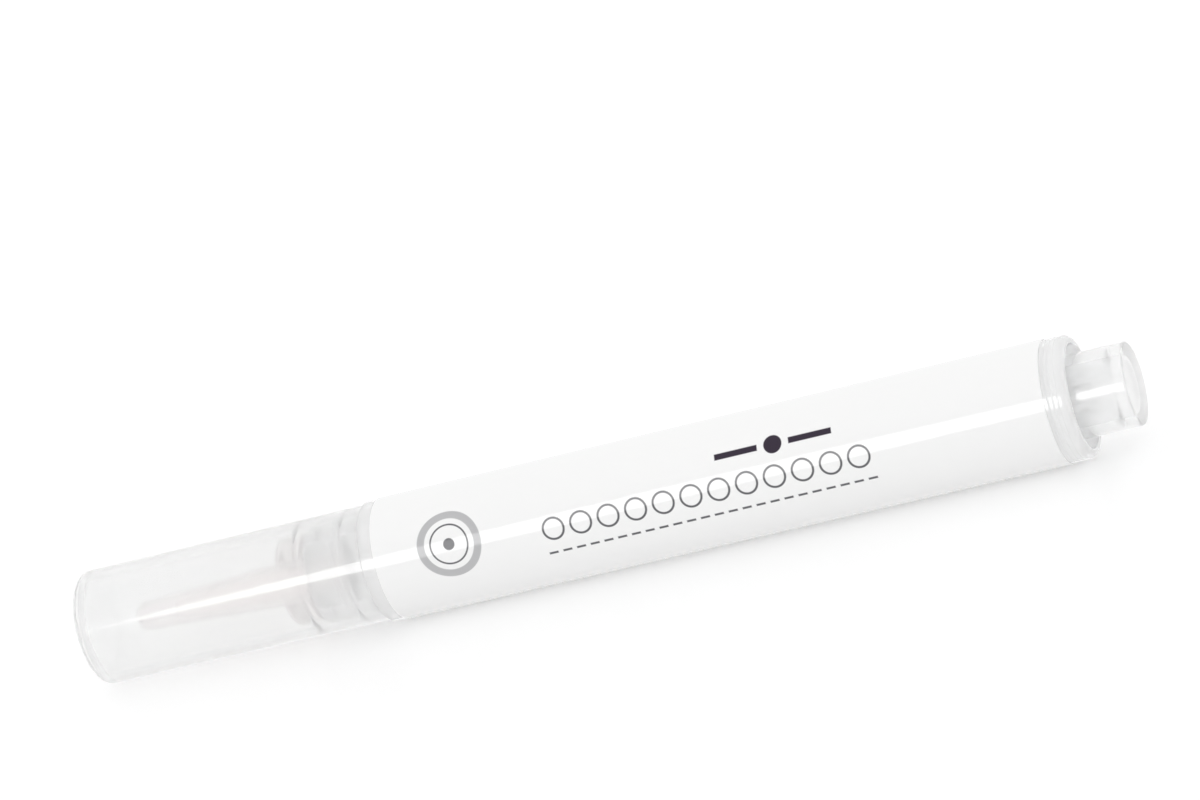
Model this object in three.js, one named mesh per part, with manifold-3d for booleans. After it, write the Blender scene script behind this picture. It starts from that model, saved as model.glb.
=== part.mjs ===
// Click pen for nail remover oil: a clear pull-off cap, a slit silicone applicator, a labelled
// clear barrel with a screw-driven piston, and a ratchet drive worked by a sprung push button.
// Millimetres. Every piece is turned about its own Y axis, with its cap-side end at y = 0,
// and the whole pen is then laid along +X with its push button at the +X end.

import * as THREE from 'three';
import { mergeVertices, toCreasedNormals } from 'three/addons/utils/BufferGeometryUtils.js';
import Module from 'manifold-3d';

const wasm = await Module();
wasm.setup();

// Facets
const OUTER_SIDES = 32;
const INNER_SIDES = 24;
const CORNER_STEPS = 3;
const SMALLEST_ROUND = 0.35;
const CREASE_ANGLE = Math.PI / 5;

// Whole pen
const PEN_LENGTH = 130;
const LABEL_RADIUS = 7.3;
const LABEL_FILM = 0.1;
const FILM_GAP = 0.02;
const SEAT_GAP = 0.1;
const EDGE = 0.2;
const THROUGH_CUT = 1;

// Cap, from its closed end
const CAP_LENGTH = 37.2;
const CAP_RADIUS = 6.92;
const CAP_CORNER = 1.1;
const CAP_END_WALL = 1.2;
const CAP_BORE = 5.5;
const CAP_BORE_DRAFT = 0.25;
const CAP_BORE_CORNER = 0.8;
const CAP_SKIRT_BORE = 6.05;
const CAP_SKIRT_DEPTH = 8.2;
const CAP_SKIRT_CONE = 0.5;
const CAP_BEAD = { height: 0.1, width: 1.2, fromRim: 3 };

// Barrel, from its front face
const BARREL_FRONT = CAP_LENGTH + SEAT_GAP;
const BUTTON_PROUD = 6.2;
const BARREL_LENGTH = PEN_LENGTH - BUTTON_PROUD - BARREL_FRONT;
const BARREL_RADIUS = LABEL_RADIUS - LABEL_FILM - FILM_GAP;
const BARREL_BORE = 5.85;
const FRONT_SOCKET = { radius: 6.15, depth: 8.3 };
const REAR_SOCKET = { radius: 6.1, depth: 11.4 };
const FRONT_ROUND = 0.7;
const REAR_ROUND = 1;

// Label film, with a clear margin left at each end of the barrel
const LABEL_FRONT_MARGIN = 1.6;
const LABEL_REAR_MARGIN = 2.9;

// Nozzle seat: the neck that carries the applicator and plugs the front of the barrel
const NECK_LENGTH = 7.8;
const NECK_RADIUS = 5.75;
const NECK_ROUND = 0.6;
const NECK_BEAD = { height: 0.14, width: 1, at: 4 };
const PLUG_LENGTH = 8;
const PLUG_RADIUS = 5.95;
const PLUG_RIB = { height: 0.12, width: 0.9 };
const PLUG_RIBS = 2;
const PLUG_LEAD = { length: 0.4, depth: 0.3 };
const TAIL_HOLE = { radius: 2.3, depth: 3 };
const BARB_POCKET = { radius: 2.8, depth: 1.5, cone: 0.8 };
const FEED_HOLE = 1.2;
const CUP = { floor: 8.4, radius: 4.9, draft: 0.2, cone: 2.4 };

// Applicator: hollow silicone cone on a thick flange, slit at the tip, held by a barbed tail
const CONE_LENGTH = 20;
const CONE_BASE = 2.6;
const CONE_TIP = 1.65;
const CONE_TIP_ROUND = 1.5;
const CONE_FOOT = 0.35;
const FLANGE = { radius: 5.25, thickness: 3.7, corner: 0.6 };
const TAIL_RADIUS = 2.2;
const BARB = { radius: 2.65, start: 3.1, length: 1.1, land: 0.3, lead: 0.3 };
const FLOW_BORE = { end: 0.9, base: 1.8, tail: 1.5 };
const SLIT = { length: 5.4, width: 0.3 };

// Screw feed: the drive turns the spindle in the fixed nut, which carries the piston forward
const SPINDLE = { radius: 2, flat: 1.5, rod: 40.8 };
const SPINDLE_HEAD = { radius: 2.1, length: 2, lead: 0.4 };
const SPINDLE_NECK = { radius: 1.6, length: 2.2, cone: 0.4 };
const SNAP_PLAY = { side: 0.15, end: 0.2 };
const KEY_PLAY = 0.12;
const PISTON = { nose: 0.9, cone: 4, coneBase: 4.4, waist: 5.3, body: 7.6, skirtWall: 0.6, skirtFloor: 2.6 };
const PISTON_LIP = { radius: 5.78, rake: 0.2, start: 0.3, end: 0.9, root: 1.8, groove: 4.9 };
const PISTON_BOSS = { wall: 1.2, sunk: 0.4 };
const PISTON_ROUND = 0.4;
const PISTON_GAP = 0.6;
const NUT = { radius: 5.75, length: 5.1, floor: 1.5, hub: 3.2, hubLength: 4.1, skirt: 0.75 };
const NUT_BORE = 2.1;

// Ratchet drive
const BUTTON_TRAVEL = 2.2;
const TEETH = 10;
const TOOTH_RISE = 0.8;
const TOOTH_STEPS = 3;
const TOOTH_ROOT = 0.3;
const TOOTH_CLEARANCE = 0.3;
const TOOTH_INSET = 0.05;
const ROTOR_STOP_GAP = 0.3;
const ROTOR = { hub: 3, flange: 5.3, flangeThickness: 1.6, front: 6.3, rear: 4 };
const CAM_SLEEVE = { radius: 5.75, bore: 4.35, tooth: 5.3, length: 7.3 };
const PUSHER = { radius: 4.2, shank: 3.9, reach: 8.6, length: 18.5, shoulder: 0.3 };
const PUSHER_BORE = { radius: 3.15, rear: 2.6, depth: 5.2, cone: 0.6 };
const KEYS = 4;
const KEY = { root: 4, tip: 4.75, width: 1, front: 4.6 };
const KEY_SLOT = { root: 4.1, tip: 4.95, width: 1.3, front: 2 };

// Push button and the collar that guides it
const BUTTON = { radius: 4.91, corner: 0.45, endWall: 1.8, bore: 3.95, rearBore: 3.4, boreCorner: 0.6 };
const BUTTON_FLANGE = { radius: 5.6, thickness: 1.5 };
const BUTTON_SOCKET = 9.3;
const COLLAR = { bore: 5.02, radius: 6.02, length: 9.7 };
const MOUTH_EDGE = 0.3;

// Return spring between the nut and the rotor
const SPRING = { radius: 4.1, wire: 0.3, turns: 6 };
const SPRING_STEPS = 12;
const SPRING_WIRE_SIDES = 5;

// Stations along the pen, from the closed end of the cap
const NECK_FRONT = BARREL_FRONT + SEAT_GAP - NECK_LENGTH;
const FLANGE_FRONT = NECK_FRONT - SEAT_GAP - FLANGE.thickness;
const BARREL_REAR = BARREL_FRONT + BARREL_LENGTH;
const COLLAR_FRONT = BARREL_REAR - REAR_SOCKET.depth + SEAT_GAP;
const BUTTON_FRONT = COLLAR_FRONT - SEAT_GAP - BUTTON_FLANGE.thickness;
const BUTTON_LENGTH = PEN_LENGTH - BUTTON_FRONT;
const CAM_FRONT = BUTTON_FRONT - BUTTON_TRAVEL - 2 * SEAT_GAP - CAM_SLEEVE.length;
const ROTOR_TEETH = CAM_FRONT - TOOTH_CLEARANCE - TOOTH_RISE;
const ROTOR_FRONT = ROTOR_TEETH - ROTOR.flangeThickness - ROTOR.front;
const NUT_FRONT = ROTOR_FRONT - BUTTON_TRAVEL - ROTOR_STOP_GAP - NUT.hubLength;
const PISTON_REAR = NUT_FRONT - PISTON_GAP;
const PISTON_FRONT = PISTON_REAR - PISTON.body - PISTON.cone;
const SPINDLE_FRONT = PISTON_REAR - SPINDLE_HEAD.length - SPINDLE_NECK.length;
const SPRING_FRONT = NUT_FRONT + NUT.floor + SPRING.wire + SEAT_GAP;
const SPRING_LENGTH = ROTOR_FRONT + ROTOR.front - SPRING_FRONT - SPRING.wire - SEAT_GAP;

// Outline of a turned piece from its corners [radius, y, rounding]; a small rounding is a chamfer
function outline(corners, closed) {
  const points = corners.map(([radius, y]) => new THREE.Vector2(radius, y));
  const count = points.length;
  const path = new THREE.Path();
  corners.forEach(([, , rounding = 0], i) => {
    const corner = points[i];
    const step = (other) => other.clone().sub(corner).setLength(rounding).add(corner);
    const enter = step(points[(i + count - 1) % count]);
    const leave = step(points[(i + 1) % count]);
    if (i === 0) path.moveTo(enter.x, enter.y);
    else path.lineTo(enter.x, enter.y);
    if (rounding >= SMALLEST_ROUND) path.quadraticCurveTo(corner.x, corner.y, leave.x, leave.y);
    else if (rounding > 0) path.lineTo(leave.x, leave.y);
  });
  if (closed) path.closePath();
  const turned = path.getPoints(CORNER_STEPS);
  return THREE.ShapeUtils.area(turned) < 0 ? turned.reverse() : turned;
}

// One shared vertex per corner, and no triangle that has shrunk to a line on the axis
function weld(geometry) {
  geometry.deleteAttribute('normal');
  geometry.deleteAttribute('uv');
  const welded = mergeVertices(geometry, 1e-4);
  const corners = Array.from(welded.index.array);
  const kept = [];
  for (let i = 0; i < corners.length; i += 3) {
    const triangle = corners.slice(i, i + 3);
    if (new Set(triangle).size === 3) kept.push(...triangle);
  }
  welded.setIndex(kept);
  return welded;
}

// A flat side faces straight down, so the pen lies on a face and not on an edge
function revolve(corners, sides) {
  const startsOnAxis = corners[0][0] === 0;
  const points = outline(corners, !startsOnAxis);
  return weld(new THREE.LatheGeometry(points, sides, Math.PI / sides));
}

function solid(geometry) {
  const vertProperties = new Float32Array(geometry.getAttribute('position').array);
  const triVerts = new Uint32Array(geometry.index.array);
  return new wasm.Manifold(new wasm.Mesh({ numProp: 3, vertProperties, triVerts }));
}

function geometryOf(body) {
  const mesh = body.getMesh();
  const geometry = new THREE.BufferGeometry();
  geometry.setAttribute('position', new THREE.BufferAttribute(mesh.vertProperties, 3));
  geometry.setIndex(new THREE.BufferAttribute(mesh.triVerts, 1));
  return geometry;
}

// Corners of a low rounded rib, or of a bead on a bore when height is negative
function rib(radius, { height, width }, middle) {
  return [
    [radius, middle - width / 2],
    [radius + height, middle - width / 6],
    [radius + height, middle + width / 6],
    [radius, middle + width / 2],
  ];
}

// Round bar with two flats, the section that keys the spindle to the rotor
function keyedBar(radius, flat, length) {
  const half = Math.acos(flat / radius);
  const section = new THREE.Shape();
  section.absarc(0, 0, radius, half, Math.PI - half, false);
  section.absarc(0, 0, radius, Math.PI + half, -half, false);
  section.closePath();
  const settings = { depth: length, bevelEnabled: false, curveSegments: INNER_SIDES / 3 };
  const bar = new THREE.ExtrudeGeometry(section, settings);
  bar.rotateX(-Math.PI / 2);
  return weld(bar);
}

// Ring of saw teeth that point along +Y from y = 0: each climbs a helix, then drops straight back
function sawCrown(inner, outer) {
  const positions = [];
  const at = (radius, angle, y) => [radius * Math.sin(angle), y, radius * Math.cos(angle)];
  const face = (...corners) => {
    for (let i = 1; i + 1 < corners.length; i += 1) {
      positions.push(...corners[0], ...corners[i], ...corners[i + 1]);
    }
  };
  const steps = TEETH * TOOTH_STEPS;
  for (let step = 0; step < steps; step += 1) {
    const rank = step % TOOTH_STEPS;
    const a = (step / steps) * 2 * Math.PI;
    const b = ((step + 1) / steps) * 2 * Math.PI;
    const low = (rank / TOOTH_STEPS) * TOOTH_RISE;
    const high = ((rank + 1) / TOOTH_STEPS) * TOOTH_RISE;
    const root = -TOOTH_ROOT;
    const dropsAfter = rank === TOOTH_STEPS - 1;
    const foot = (radius) => (dropsAfter ? [at(radius, b, 0)] : []);
    face(at(inner, a, low), at(outer, a, low), at(outer, b, high), at(inner, b, high));
    face(at(inner, a, root), at(inner, b, root), at(outer, b, root), at(outer, a, root));
    face(at(outer, a, root), at(outer, b, root), ...foot(outer), at(outer, b, high), at(outer, a, low));
    face(at(inner, a, low), at(inner, b, high), ...foot(inner), at(inner, b, root), at(inner, a, root));
    if (dropsAfter) face(at(outer, b, 0), at(inner, b, 0), at(inner, b, high), at(outer, b, high));
  }
  const crown = new THREE.BufferGeometry();
  crown.setAttribute('position', new THREE.BufferAttribute(new Float32Array(positions), 3));
  return weld(crown);
}

// The same ring turned over, with its tips at y = 0 and its root above them
function facingForward(crown) {
  crown.rotateX(Math.PI);
  crown.translate(0, TOOTH_RISE, 0);
  return crown;
}

function cap() {
  const step = CAP_LENGTH - CAP_SKIRT_DEPTH;
  const bead = rib(CAP_SKIRT_BORE, { ...CAP_BEAD, height: -CAP_BEAD.height }, CAP_LENGTH - CAP_BEAD.fromRim);
  return revolve([
    [0, 0],
    [CAP_RADIUS, 0, CAP_CORNER],
    [CAP_RADIUS, CAP_LENGTH, EDGE],
    [CAP_SKIRT_BORE, CAP_LENGTH, EDGE],
    ...bead.reverse(),
    [CAP_SKIRT_BORE, step],
    [CAP_BORE, step - CAP_SKIRT_CONE],
    [CAP_BORE - CAP_BORE_DRAFT, CAP_END_WALL, CAP_BORE_CORNER],
    [0, CAP_END_WALL],
  ], OUTER_SIDES);
}

function applicatorTip() {
  const flangeRear = CONE_LENGTH + FLANGE.thickness;
  const barbStart = flangeRear + BARB.start;
  const tailEnd = barbStart + BARB.length;
  const body = solid(revolve([
    [0, SLIT.length],
    [FLOW_BORE.end, SLIT.length],
    [FLOW_BORE.base, CONE_LENGTH],
    [FLOW_BORE.tail, flangeRear],
    [FLOW_BORE.tail, tailEnd],
    [TAIL_RADIUS - BARB.lead, tailEnd],
    [BARB.radius, barbStart + BARB.land],
    [BARB.radius, barbStart],
    [TAIL_RADIUS, barbStart],
    [TAIL_RADIUS, flangeRear],
    [FLANGE.radius, flangeRear, FLANGE.corner],
    [FLANGE.radius, CONE_LENGTH, FLANGE.corner],
    [CONE_BASE, CONE_LENGTH, CONE_FOOT],
    [CONE_TIP, 0, CONE_TIP_ROUND],
    [0, 0],
  ], INNER_SIDES));
  const slitDepth = SLIT.length + SLIT.width;
  const slit = new THREE.BoxGeometry(4 * CONE_BASE, 2 * slitDepth, SLIT.width);
  return geometryOf(body.subtract(solid(weld(slit))));
}

function nozzleSeat() {
  const barrelFace = NECK_LENGTH;
  const plugEnd = NECK_LENGTH + PLUG_LENGTH;
  const ribs = [];
  for (let i = 1; i <= PLUG_RIBS; i += 1) {
    ribs.push(...rib(PLUG_RADIUS, PLUG_RIB, barrelFace + (i * PLUG_LENGTH) / (PLUG_RIBS + 1)));
  }
  const pocketEnd = TAIL_HOLE.depth + BARB_POCKET.depth;
  return revolve([
    [TAIL_HOLE.radius, 0, EDGE],
    [NECK_RADIUS, 0, NECK_ROUND],
    ...rib(NECK_RADIUS, NECK_BEAD, NECK_BEAD.at),
    [NECK_RADIUS, barrelFace],
    [PLUG_RADIUS, barrelFace + EDGE],
    ...ribs,
    [PLUG_RADIUS, plugEnd - PLUG_LEAD.length],
    [PLUG_RADIUS - PLUG_LEAD.depth, plugEnd],
    [CUP.radius, plugEnd],
    [CUP.radius - CUP.draft, CUP.floor + CUP.cone],
    [FEED_HOLE, CUP.floor],
    [FEED_HOLE, pocketEnd + BARB_POCKET.cone],
    [BARB_POCKET.radius, pocketEnd],
    [BARB_POCKET.radius, TAIL_HOLE.depth],
    [TAIL_HOLE.radius, TAIL_HOLE.depth],
  ], OUTER_SIDES);
}

function barrel() {
  const rearLedge = BARREL_LENGTH - REAR_SOCKET.depth;
  return revolve([
    [FRONT_SOCKET.radius, 0, EDGE],
    [BARREL_RADIUS, 0, FRONT_ROUND],
    [BARREL_RADIUS, BARREL_LENGTH, REAR_ROUND],
    [REAR_SOCKET.radius, BARREL_LENGTH, MOUTH_EDGE],
    [REAR_SOCKET.radius, rearLedge],
    [BARREL_BORE, rearLedge],
    [BARREL_BORE, FRONT_SOCKET.depth],
    [FRONT_SOCKET.radius, FRONT_SOCKET.depth],
  ], OUTER_SIDES);
}

function labelSleeve() {
  const length = BARREL_LENGTH - LABEL_FRONT_MARGIN - LABEL_REAR_MARGIN;
  const inner = LABEL_RADIUS - LABEL_FILM;
  return revolve([
    [inner, 0],
    [LABEL_RADIUS, 0],
    [LABEL_RADIUS, length],
    [inner, length],
  ], OUTER_SIDES);
}

// Two sealing lips, a cone that runs into the cup of the nozzle seat, and a snap socket behind
function piston() {
  const front = PISTON.cone;
  const rear = PISTON.cone + PISTON.body;
  const lip = PISTON_LIP;
  const socketFloor = rear - SPINDLE_HEAD.length - SPINDLE_NECK.length - SNAP_PLAY.end;
  const throat = rear - SPINDLE_NECK.length + SNAP_PLAY.end;
  const throatRadius = SPINDLE_NECK.radius + SNAP_PLAY.side;
  const socketRadius = SPINDLE_HEAD.radius + SNAP_PLAY.side;
  const boss = SPINDLE_HEAD.radius + PISTON_BOSS.wall;
  const bossEnd = rear - PISTON_BOSS.sunk;
  const skirtBore = PISTON.waist - PISTON.skirtWall;
  const skirtFloor = front + PISTON.skirtFloor;
  return revolve([
    [0, 0],
    [PISTON.nose, 0, PISTON_ROUND],
    [PISTON.coneBase, front, PISTON_ROUND],
    [lip.groove, front + lip.end],
    [lip.radius - lip.rake, front],
    [lip.radius, front + lip.start],
    [lip.radius, front + lip.end],
    [PISTON.waist, front + lip.root],
    [PISTON.waist, rear - lip.root],
    [lip.radius, rear - lip.end],
    [lip.radius, rear - lip.start],
    [lip.radius - lip.rake, rear],
    [skirtBore, rear - lip.end],
    [skirtBore, skirtFloor, PISTON_ROUND],
    [boss, skirtFloor, PISTON_ROUND],
    [boss, bossEnd],
    [throatRadius, bossEnd],
    [throatRadius, throat],
    [socketRadius, throat],
    [socketRadius, socketFloor],
    [0, socketFloor],
  ], INNER_SIDES);
}

function screwSpindle() {
  const shoulder = SPINDLE_HEAD.length + SPINDLE_NECK.length;
  const neckEnd = shoulder + SPINDLE_NECK.cone;
  const head = solid(revolve([
    [0, 0],
    [SPINDLE_HEAD.radius, 0, SPINDLE_HEAD.lead],
    [SPINDLE_HEAD.radius, SPINDLE_HEAD.length, EDGE],
    [SPINDLE_NECK.radius, SPINDLE_HEAD.length],
    [SPINDLE_NECK.radius, shoulder],
    [SPINDLE.flat, neckEnd],
    [0, neckEnd],
  ], INNER_SIDES));
  const rod = keyedBar(SPINDLE.radius, SPINDLE.flat, SPINDLE.rod);
  rod.translate(0, shoulder, 0);
  return geometryOf(head.add(solid(rod)));
}

function spindleNut() {
  return revolve([
    [NUT_BORE, 0, EDGE],
    [NUT.radius, 0, EDGE],
    [NUT.radius, NUT.length],
    [NUT.radius - NUT.skirt, NUT.length],
    [NUT.radius - NUT.skirt, NUT.floor, EDGE],
    [NUT.hub, NUT.floor, EDGE],
    [NUT.hub, NUT.hubLength, EDGE],
    [NUT_BORE, NUT.hubLength, EDGE],
  ], OUTER_SIDES);
}

class Helix extends THREE.Curve {
  getPoint(t, target = new THREE.Vector3()) {
    const angle = t * SPRING.turns * 2 * Math.PI;
    return target.set(SPRING.radius * Math.sin(angle), t * SPRING_LENGTH, SPRING.radius * Math.cos(angle));
  }
}

function returnSpring() {
  const wire = new THREE.Shape();
  for (let i = 0; i < SPRING_WIRE_SIDES; i += 1) {
    const angle = (i / SPRING_WIRE_SIDES) * 2 * Math.PI;
    const draw = i === 0 ? 'moveTo' : 'lineTo';
    wire[draw](SPRING.wire * Math.cos(angle), SPRING.wire * Math.sin(angle));
  }
  wire.closePath();
  const steps = SPRING.turns * SPRING_STEPS;
  return weld(new THREE.ExtrudeGeometry(wire, { steps, extrudePath: new Helix() }));
}

// Least clear distance between one turn of the spring and the next, on points of its centre line
function springGap() {
  const steps = SPRING.turns * SPRING_STEPS;
  const points = new Helix().getPoints(steps);
  const clear = points.flatMap((point, i) => points.slice(i + SPRING_STEPS / 2)
    .map((other) => point.distanceTo(other) - 2 * SPRING.wire));
  return Math.min(...clear);
}

function driveRotor() {
  const teethAt = ROTOR.front + ROTOR.flangeThickness;
  const length = teethAt + ROTOR.rear;
  const body = solid(revolve([
    [0, 0],
    [ROTOR.hub, 0, EDGE],
    [ROTOR.hub, ROTOR.front],
    [ROTOR.flange, ROTOR.front, EDGE],
    [ROTOR.flange, teethAt],
    [ROTOR.hub, teethAt],
    [ROTOR.hub, length, EDGE],
    [0, length],
  ], INNER_SIDES));
  const crown = sawCrown(ROTOR.hub - TOOTH_INSET, ROTOR.flange - TOOTH_INSET);
  crown.translate(0, teethAt, 0);
  const cutLength = length + 2 * THROUGH_CUT;
  const keyway = keyedBar(SPINDLE.radius + KEY_PLAY, SPINDLE.flat + KEY_PLAY, cutLength);
  keyway.translate(0, -THROUGH_CUT, 0);
  return geometryOf(body.add(solid(crown)).subtract(solid(keyway)));
}

// Bars set round the axis, from one radius to another: the keys of the pusher, or the slots they run in
function keyBars({ root, tip, width, front }, rear) {
  const bars = [];
  for (let i = 0; i < KEYS; i += 1) {
    const bar = new THREE.BoxGeometry(width, rear - front, tip - root);
    bar.translate(0, (front + rear) / 2, (root + tip) / 2);
    bar.rotateY((i / KEYS) * 2 * Math.PI);
    bars.push(solid(weld(bar)));
  }
  return bars;
}

function camSleeve() {
  const ring = solid(revolve([
    [CAM_SLEEVE.bore, TOOTH_RISE],
    [CAM_SLEEVE.radius, TOOTH_RISE, EDGE],
    [CAM_SLEEVE.radius, CAM_SLEEVE.length, EDGE],
    [CAM_SLEEVE.bore, CAM_SLEEVE.length],
  ], OUTER_SIDES));
  const crown = facingForward(sawCrown(CAM_SLEEVE.bore + TOOTH_INSET, CAM_SLEEVE.tooth));
  const slots = keyBars(KEY_SLOT, CAM_SLEEVE.length + THROUGH_CUT);
  const toothed = ring.add(solid(crown));
  return geometryOf(slots.reduce((body, slot) => body.subtract(slot), toothed));
}

function camPusher() {
  const boreEnd = PUSHER_BORE.depth + PUSHER_BORE.cone;
  const tube = solid(revolve([
    [PUSHER_BORE.radius, TOOTH_RISE],
    [PUSHER.radius, TOOTH_RISE],
    [PUSHER.radius, PUSHER.reach],
    [PUSHER.shank, PUSHER.reach + PUSHER.shoulder],
    [PUSHER.shank, PUSHER.length, EDGE],
    [PUSHER_BORE.rear, PUSHER.length],
    [PUSHER_BORE.rear, boreEnd],
    [PUSHER_BORE.radius, PUSHER_BORE.depth],
  ], INNER_SIDES));
  const crown = facingForward(sawCrown(PUSHER_BORE.radius + TOOTH_INSET, PUSHER.radius - TOOTH_INSET));
  crown.rotateY(Math.PI / TEETH);
  const toothed = tube.add(solid(crown));
  return geometryOf(keyBars(KEY, PUSHER.reach).reduce((body, key) => body.add(key), toothed));
}

function pushButton() {
  const innerEnd = BUTTON_LENGTH - BUTTON.endWall;
  return revolve([
    [0, innerEnd],
    [BUTTON.rearBore, innerEnd, BUTTON.boreCorner],
    [BUTTON.rearBore, BUTTON_SOCKET],
    [BUTTON.bore, BUTTON_SOCKET],
    [BUTTON.bore, 0],
    [BUTTON_FLANGE.radius, 0, EDGE],
    [BUTTON_FLANGE.radius, BUTTON_FLANGE.thickness, EDGE],
    [BUTTON.radius, BUTTON_FLANGE.thickness],
    [BUTTON.radius, BUTTON_LENGTH, BUTTON.corner],
    [0, BUTTON_LENGTH],
  ], OUTER_SIDES);
}

function rearCollar() {
  return revolve([
    [COLLAR.bore, 0],
    [COLLAR.radius, 0, EDGE],
    [COLLAR.radius, COLLAR.length, MOUTH_EDGE],
    [COLLAR.bore, COLLAR.length, MOUTH_EDGE],
  ], OUTER_SIDES);
}

// Finishes
const clearPlastic = { color: '#eef1f2', roughness: 0.12, transparent: true, opacity: 0.35 };
const labelFilm = { color: '#fafaf8', roughness: 0.18 };
const silicone = { color: '#f3e0d4', roughness: 0.45, transparent: true, opacity: 0.7 };
const mouldedWhite = { color: '#e9e9e5', roughness: 0.5 };
const pistonWhite = { color: '#f4f4f0', roughness: 0.4 };
const springSteel = { color: '#b9bdc1', roughness: 0.3, metalness: 1 };

const pen = new THREE.Group();

function place(name, geometry, finish, station) {
  const material = new THREE.MeshStandardMaterial({ metalness: 0, ...finish });
  const mesh = new THREE.Mesh(toCreasedNormals(geometry, CREASE_ANGLE), material);
  mesh.name = name;
  mesh.position.y = station;
  pen.add(mesh);
}

place('cap', cap(), clearPlastic, 0);
place('applicator_tip', applicatorTip(), silicone, FLANGE_FRONT - CONE_LENGTH);
place('nozzle_seat', nozzleSeat(), clearPlastic, NECK_FRONT);
place('barrel', barrel(), clearPlastic, BARREL_FRONT);
place('label_sleeve', labelSleeve(), labelFilm, BARREL_FRONT + LABEL_FRONT_MARGIN);
place('piston', piston(), pistonWhite, PISTON_FRONT);
place('screw_spindle', screwSpindle(), mouldedWhite, SPINDLE_FRONT);
place('spindle_nut', spindleNut(), mouldedWhite, NUT_FRONT);
place('return_spring', returnSpring(), springSteel, SPRING_FRONT);
place('drive_rotor', driveRotor(), mouldedWhite, ROTOR_FRONT);
place('cam_sleeve', camSleeve(), mouldedWhite, CAM_FRONT);
place('cam_pusher', camPusher(), mouldedWhite, CAM_FRONT);
place('push_button', pushButton(), clearPlastic, BUTTON_FRONT);
place('rear_collar', rearCollar(), clearPlastic, COLLAR_FRONT);

pen.rotation.z = -Math.PI / 2;
pen.position.set(-PEN_LENGTH / 2, 0, LABEL_RADIUS * Math.cos(Math.PI / OUTER_SIDES));

const plugEnd = NECK_FRONT + NECK_LENGTH + PLUG_LENGTH;
const freeStroke = PISTON_FRONT + PISTON.cone - plugEnd;
console.log(`least gap between spring turns ${springGap().toFixed(2)} mm`);
console.log(`free stroke of the piston ${freeStroke.toFixed(2)} mm`);

export default pen;
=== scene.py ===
"""Click pen for nail remover oil, lying on a white studio floor with its cap on the left.

Sizes of the pieces and of the label's print are in millimetres: a corner of an outline is (station,
radius, rounding), where the station runs along the pen from the closed end of the cap. The relief of
finishes, the stage and the camera are in metres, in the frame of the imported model.
"""

import math

import bmesh
import bpy
from mathutils import Matrix, Vector


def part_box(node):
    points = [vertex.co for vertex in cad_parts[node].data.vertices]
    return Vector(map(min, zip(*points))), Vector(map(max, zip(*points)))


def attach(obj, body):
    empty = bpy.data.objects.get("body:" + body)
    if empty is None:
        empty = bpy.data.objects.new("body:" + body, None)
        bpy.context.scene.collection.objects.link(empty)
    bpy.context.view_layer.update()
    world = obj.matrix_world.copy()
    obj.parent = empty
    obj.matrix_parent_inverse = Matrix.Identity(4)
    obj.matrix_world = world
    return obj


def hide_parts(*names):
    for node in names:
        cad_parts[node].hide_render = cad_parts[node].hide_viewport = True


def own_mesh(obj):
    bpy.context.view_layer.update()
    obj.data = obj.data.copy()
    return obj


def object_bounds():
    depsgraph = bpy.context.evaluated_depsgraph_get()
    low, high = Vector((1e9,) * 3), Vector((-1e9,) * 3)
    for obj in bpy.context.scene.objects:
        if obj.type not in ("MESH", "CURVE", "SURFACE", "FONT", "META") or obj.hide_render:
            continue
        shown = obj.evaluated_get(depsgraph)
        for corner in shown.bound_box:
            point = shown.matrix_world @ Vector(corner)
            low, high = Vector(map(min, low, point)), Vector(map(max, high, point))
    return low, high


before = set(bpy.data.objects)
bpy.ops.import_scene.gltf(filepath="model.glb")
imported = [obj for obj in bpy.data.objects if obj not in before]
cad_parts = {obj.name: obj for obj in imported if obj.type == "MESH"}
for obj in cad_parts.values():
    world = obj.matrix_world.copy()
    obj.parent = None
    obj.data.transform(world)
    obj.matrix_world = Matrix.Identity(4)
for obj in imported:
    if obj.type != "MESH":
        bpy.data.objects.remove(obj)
cad_low, cad_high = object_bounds()

MM = 0.001
label_low, label_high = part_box("label_sleeve")
PEN_START = cad_low.x
AXIS_Z = (label_low.z + label_high.z) / 2
AXIS_POINT = (0.0, 0.0, AXIS_Z)
PEN_AXIS = (1.0, 0.0, 0.0)

# Turning: steps round the pen, steps and profile of a corner, welding distance in metres, plain edges
FINE_TURN = 144
PLAIN_TURN = 96
CORNER_STEPS = 6
CORNER_ARC = 0.5
WELD = 2e-6
SMOOTH_ANGLE = math.radians(32)
EDGE = 0.2
FINE_EDGE = EDGE / 2

# A bead's crest and its roundings, as shares of its width
BEAD_CREST = 1 / 3
BEAD_ROUND = 1 / 8


def ends(node):
    """Front and rear station of a node of the frame."""
    low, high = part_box(node)
    return (low.x - PEN_START) / MM, (high.x - PEN_START) / MM


def place(station, radius):
    """Point of an outline, above the axis of the pen."""
    return Vector((PEN_START + station * MM, 0.0, AXIS_Z + radius * MM))


# Outer pieces
CAP_FRONT, CAP_REAR = ends("cap")
CAP_RADIUS = 6.92
CAP_CORNER = 1.1
CAP_RIM = 0.1
CAP_GAP = 0.03
CAP_END_WALL = 1.3
CAP_BORE = {"radius": 5.9, "draft": 0.1, "corner": 0.6}
CAP_SKIRT = {"bore": 6.05, "depth": 8.2, "cone": 0.5}
CAP_BEAD = {"height": 0.1, "width": 1.2, "from_rim": 3.0}
CAP_GATE = {"radius": 0.9, "depth": 0.12}

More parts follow.
